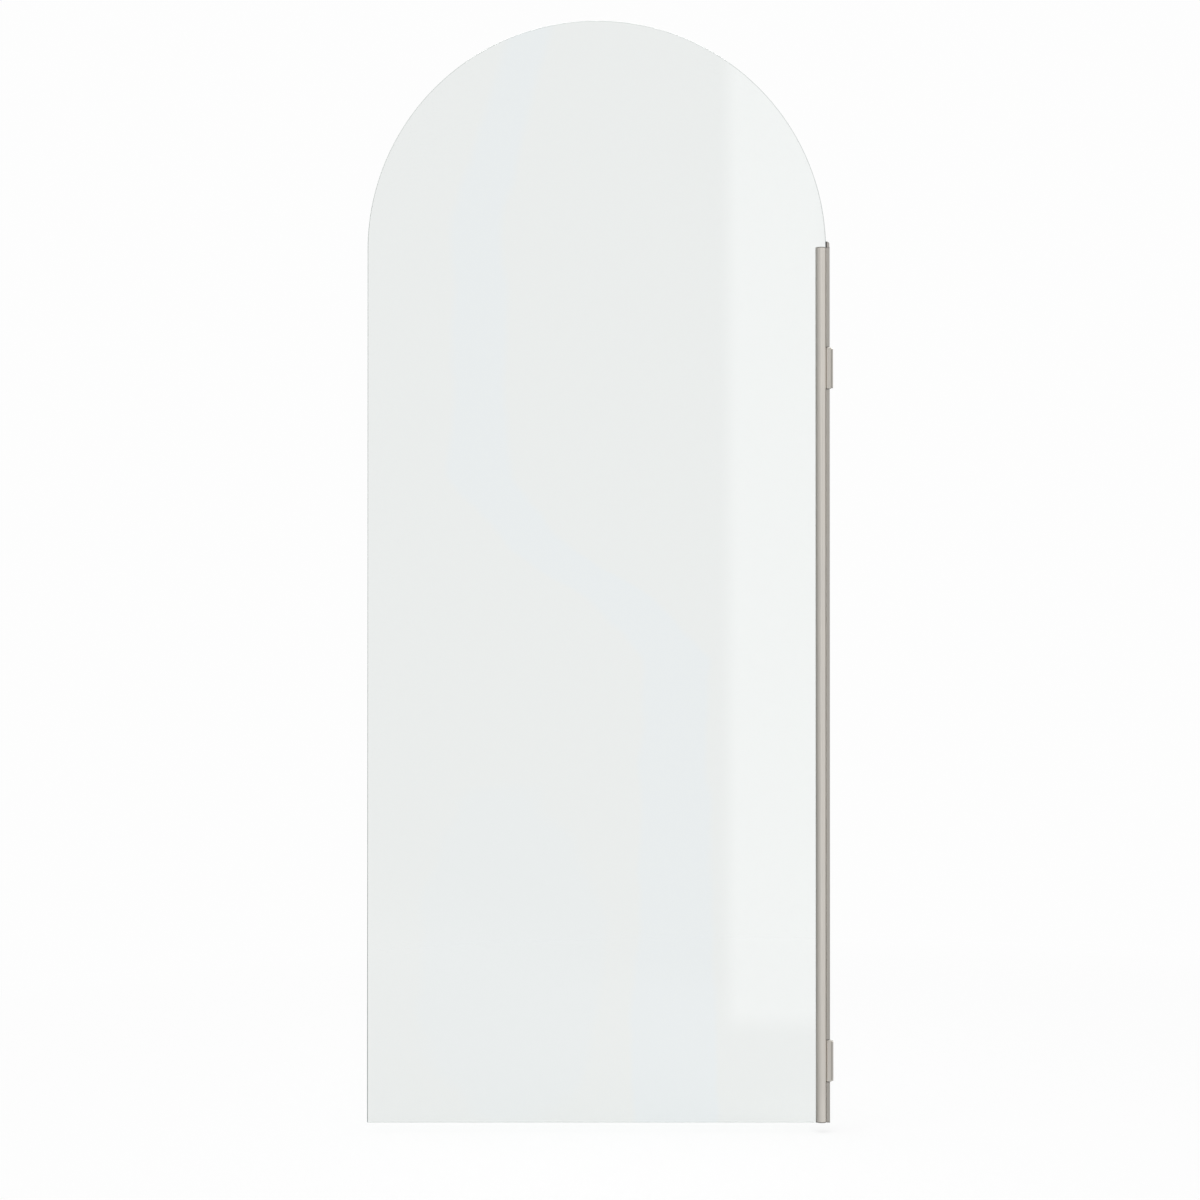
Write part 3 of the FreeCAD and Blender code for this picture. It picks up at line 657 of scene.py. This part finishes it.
def rounded_cap(name, packed, outer, inner):
    """A copy of a packed cap with a round on both rims of its plate, which lies between these heights."""
    shape = bmesh.new()
    shape.from_mesh(nodes[packed].data)
    shape.transform(nodes[packed].matrix_world)
    bmesh.ops.remove_doubles(shape, verts=shape.verts, dist=CAP_WELD)
    bmesh.ops.dissolve_limit(shape, angle_limit=FLAT_WITHIN, verts=shape.verts, edges=shape.edges)
    shape.normal_update()
    weight = shape.edges.layers.float.new("bevel_weight_edge")
    for edge in plate_rims(shape, outer, inner):
        edge[weight] = 1.0
    cap = piece_from(name, shape)
    soften(cap, CAP_ROUND, segments=3, limit="WEIGHT")
    cap.modifiers["soft_edges"].use_clamp_overlap = False
    dress(cap, packed, cap_plastic_painted_shade)


top_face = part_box("top_end_cap")[1].z
bottom_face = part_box("bottom_end_cap")[0].z
rounded_cap("moulded_top_cap", "top_end_cap", top_face, top_face - CAP_THICKNESS)
rounded_cap("moulded_bottom_cap", "bottom_end_cap", bottom_face, bottom_face + CAP_THICKNESS)

# %% [markdown]
# ## A plain studio
# The photograph has a white ground and no cast colour. The world is white wherever the camera or the glass
# looks, and gentler for the light that falls on surfaces, so the ground stays white without washing out the
# object. Metal needs something to reflect: in an evenly white room a round bar looks flat. So what a
# reflection sees is the same room, lit from the front right, dimmer towards the left and round the camera,
# and with its white backdrop behind the screen. Glossy Depth tells such rays apart even after they have gone
# through the glass.

# %% World
GROUND_WHITE = 0.985
SOFT_LIGHT = 0.55
ROOM_LEVEL = 0.735
ROOM_SWING = 0.33
ROOM_BRIGHT_SIDE = (0.616, -0.788, 0.0)
ROOM_BACK = (0.0, 1.0, 0.0)
BACKDROP_EDGE = 0.84
BACKDROP_SOFT = 0.10
ROOM_FRONT = (0.0, -1.0, 0.0)
FRONT_EDGE = 0.85
FRONT_SOFT = 0.12
FRONT_DROP = 0.22


def along(graph, direction, axis):
    """How far a direction points along an axis, from -1 to 1."""
    return graph.value("ShaderNodeVectorMath", "Value", {"operation": "DOT_PRODUCT"}, {0: direction, 1: axis})


def room_level(graph, direction):
    """Brightness of the room in a direction, as a reflection sees it."""
    walls = along(graph, direction, ROOM_BRIGHT_SIDE) * ROOM_SWING + ROOM_LEVEL
    front = graph.rise(along(graph, direction, ROOM_FRONT), FRONT_EDGE, FRONT_SOFT)
    backdrop = graph.rise(along(graph, direction, ROOM_BACK), BACKDROP_EDGE, BACKDROP_SOFT)
    return walls - front * FRONT_DROP + backdrop * (GROUND_WHITE - walls)


def seen_share(graph):
    """1 for rays of the camera, of reflections and of the glass; 0 for the light that falls on surfaces."""
    path = graph.node("ShaderNodeLightPath")
    unseen = [1 - Value(graph, path.outputs[name])
              for name in ("Is Camera Ray", "Is Glossy Ray", "Is Transmission Ray")]
    return 1 - unseen[0] * unseen[1] * unseen[2]


def reflected_share(graph):
    """1 for rays that a surface has reflected on their way; 0 for a straight look, also through the glass."""
    depth = graph.value("ShaderNodeLightPath", "Glossy Depth")
    return graph.value("ShaderNodeMath", "Value", {"operation": "MINIMUM"}, {0: depth, 1: 1.0})


def ground_level(graph, direction):
    """White for a straight look and the room's brightness for a reflection."""
    return GROUND_WHITE + reflected_share(graph) * (room_level(graph, direction) - GROUND_WHITE)


world = bpy.data.worlds.new("white_studio")
bpy.context.scene.world = world
sky = Graph(world)
direction = sky.value("ShaderNodeTexCoord", "Generated")
level = SOFT_LIGHT + seen_share(sky) * (ground_level(sky, direction) - SOFT_LIGHT)
light = sky.value("ShaderNodeBackground", "Background", {}, {"Color": level})
sky.node("ShaderNodeOutputWorld", {}, {"Surface": light})
print("world: white at", GROUND_WHITE, "and", SOFT_LIGHT, "as light")

# %% [markdown]
# ## The floor
# A pale floor lies just under the pane. It glows by the same rule as the world, so no horizon shows: the
# direction of a point on it is taken from a place on the cover. Near the screen it keeps a share of plain
# matt paint, which is the part that can take a shadow. Round the foot of the cover a pool of light is painted
# into the glow that reflections see, brighter towards the front right and dimmer on the far side, and the
# metal picks both up.

# %% The floor
FLOOR_GAP = 16 * MM
FLOOR_REACH = 40.0
FLOOR_PAINT = 0.90
FLOOR_PAINT_SHARE = 0.18
FLOOR_PAINT_REACH = 2.5
FLOOR_PAINT_FULL = 0.35
FLOOR_SEEN_FROM = 0.8
FLOOR_PAINTED_POOL = 0.30
FLOOR_PAINTED_POOL_FADE = 0.10


def flat_panel(name, corners):
    mesh = bpy.data.meshes.new(name)
    mesh.from_pydata(corners, [], [(0, 1, 2, 3)])
    panel = bpy.data.objects.new(name, mesh)
    bpy.context.scene.collection.objects.link(panel)
    return panel


floor_z = pane_low.z - FLOOR_GAP
floor = flat_panel("pale_floor", [(x * FLOOR_REACH, y * FLOOR_REACH, floor_z)
                                  for x, y in ((-1, -1), (1, -1), (1, 1), (-1, 1))])
floor_finish, graph = new_finish("pale_floor")
seen_from = (cover_x, cover_y, floor_z + FLOOR_SEEN_FROM)
from_cover = graph.value("ShaderNodeVectorMath", "Vector", {"operation": "SUBTRACT"},
                         {0: graph.place(), 1: seen_from})
distance = graph.value("ShaderNodeVectorMath", "Value", {"operation": "LENGTH"}, {0: from_cover})
direction = graph.value("ShaderNodeVectorMath", "Vector", {"operation": "NORMALIZE"}, {0: from_cover})
level_line = graph.value("ShaderNodeVectorMath", "Vector", {"operation": "NORMALIZE"},
                         {0: graph.stretched(from_cover, (1, 1, 0))})
near_foot = 1 - graph.rise(distance, FLOOR_SEEN_FROM, FLOOR_PAINTED_POOL_FADE)
# Painted pool of light: reflections see the floor brighter near the foot to the front right, dimmer behind.
painted_pool = near_foot * along(graph, level_line, ROOM_BRIGHT_SIDE) * FLOOR_PAINTED_POOL
level = ground_level(graph, direction) + painted_pool * reflected_share(graph)
glow = graph.value("ShaderNodeEmission", "Emission", {}, {"Color": level})
paint = graph.value("ShaderNodeBsdfDiffuse", "BSDF", {}, {"Color": opaque([FLOOR_PAINT] * 3)})
nearness = graph.ramp(distance / FLOOR_PAINT_REACH, (FLOOR_PAINT_FULL, 1.0), (1.0, 0.0))
paint_share = nearness * FLOOR_PAINT_SHARE * (1 - reflected_share(graph))
glow_share = seen_share(graph) * (1 - paint_share)
graph.end(graph.value("ShaderNodeMixShader", "Shader", {}, {0: glow_share, 1: paint, 2: glow}))
floor.data.materials.append(floor_finish)
print("floor at", round(floor_z, 4))

# %% [markdown]
# ## The strip light
# The tall soft band beside the cover is the reflection of a narrow strip light that stands in front of the
# glass. A real one would be in the way of the camera, so only reflections see it. Its edges are soft: a mask
# blends the glow into nothing over a few centimetres.

# %% The strip light
STRIP_DISTANCE = 0.9
STRIP_LEFT, STRIP_RIGHT = -0.137, 0.08
STRIP_BOTTOM, STRIP_TOP = -0.103, 2.6
STRIP_SOFT_SIDE = 0.052
STRIP_SOFT_FOOT = 0.070
STRIP_LEVEL = 1.56
low, high = floor_z, STRIP_TOP
left, right = STRIP_LEFT - STRIP_SOFT_SIDE, STRIP_RIGHT + STRIP_SOFT_SIDE
strip = flat_panel("strip_light", [(x, -STRIP_DISTANCE, z)
                                   for x, z in ((left, low), (right, low), (right, high), (left, high))])
strip_finish, graph = new_finish("strip_light")
x = graph.axis(graph.place(), "X")
z = graph.axis(graph.place(), "Z")
mask = graph.rise(x, STRIP_LEFT - STRIP_SOFT_SIDE / 2, STRIP_SOFT_SIDE)
mask = mask * (1 - graph.rise(x, STRIP_RIGHT - STRIP_SOFT_SIDE / 2, STRIP_SOFT_SIDE))
mask = mask * graph.rise(z, STRIP_BOTTOM - STRIP_SOFT_FOOT / 2, STRIP_SOFT_FOOT)
clear = graph.value("ShaderNodeBsdfTransparent", "BSDF")
glow = graph.value("ShaderNodeEmission", "Emission", {}, {"Strength": STRIP_LEVEL})
lit_share = mask * reflected_share(graph)
graph.end(graph.value("ShaderNodeMixShader", "Shader", {}, {0: lit_share, 1: clear, 2: glow}))
strip.data.materials.append(strip_finish)
strip.visible_camera = False
strip.visible_diffuse = False
strip.visible_shadow = False
print("strip light", round(right - left, 3), "m wide")

# %% [markdown]
# ## The lamp
# One large soft lamp hangs over the screen. It lights the dull surfaces from above and gives the faint shadow
# on the floor. Neither the camera nor the glass sees it.

# %% The lamp
LAMP_FORWARD = 0.3
LAMP_HEIGHT = 4.0
LAMP_WIDTH = 3.0
LAMP_DEPTH = 2.0
LAMP_POWER = 112.0
middle = (cad_low + cad_high) / 2
data = bpy.data.lights.new("top_softbox", "AREA")
data.shape = "RECTANGLE"
data.size = LAMP_WIDTH
data.size_y = LAMP_DEPTH
data.energy = LAMP_POWER
lamp = bpy.data.objects.new("top_softbox", data)
lamp.location = (middle.x, -LAMP_FORWARD, LAMP_HEIGHT)
lamp.rotation_euler = (middle - lamp.location).to_track_quat("-Z", "Y").to_euler()
lamp.visible_camera = False
lamp.visible_transmission = False
bpy.context.scene.collection.objects.link(lamp)
print("lamp of", LAMP_POWER, "watts at", [round(n, 3) for n in lamp.location])

# %% [markdown]
# ## The camera
# The photograph looks almost square at the glass from about four metres, at half the height of the picture,
# so the camera stands there with a longish lens. It is tilted up by a hair, which makes the foot of the
# screen as much wider than its top as the photograph shows.

# %% The camera
CAMERA_PLACE = (-0.4223, -4.0, 0.8146)
CAMERA_LENS = 66.11
CAMERA_TILT = 0.28
CAMERA_SENSOR = 36.0
data = bpy.data.cameras.new("camera")
data.lens = CAMERA_LENS
data.sensor_width = CAMERA_SENSOR
camera = bpy.data.objects.new("camera", data)
camera.location = CAMERA_PLACE
camera.rotation_euler = (math.radians(90 + CAMERA_TILT), 0, 0)
bpy.context.scene.collection.objects.link(camera)
bpy.context.scene.camera = camera
bpy.context.scene.view_settings.view_transform = "Standard"
print("camera at", CAMERA_PLACE)
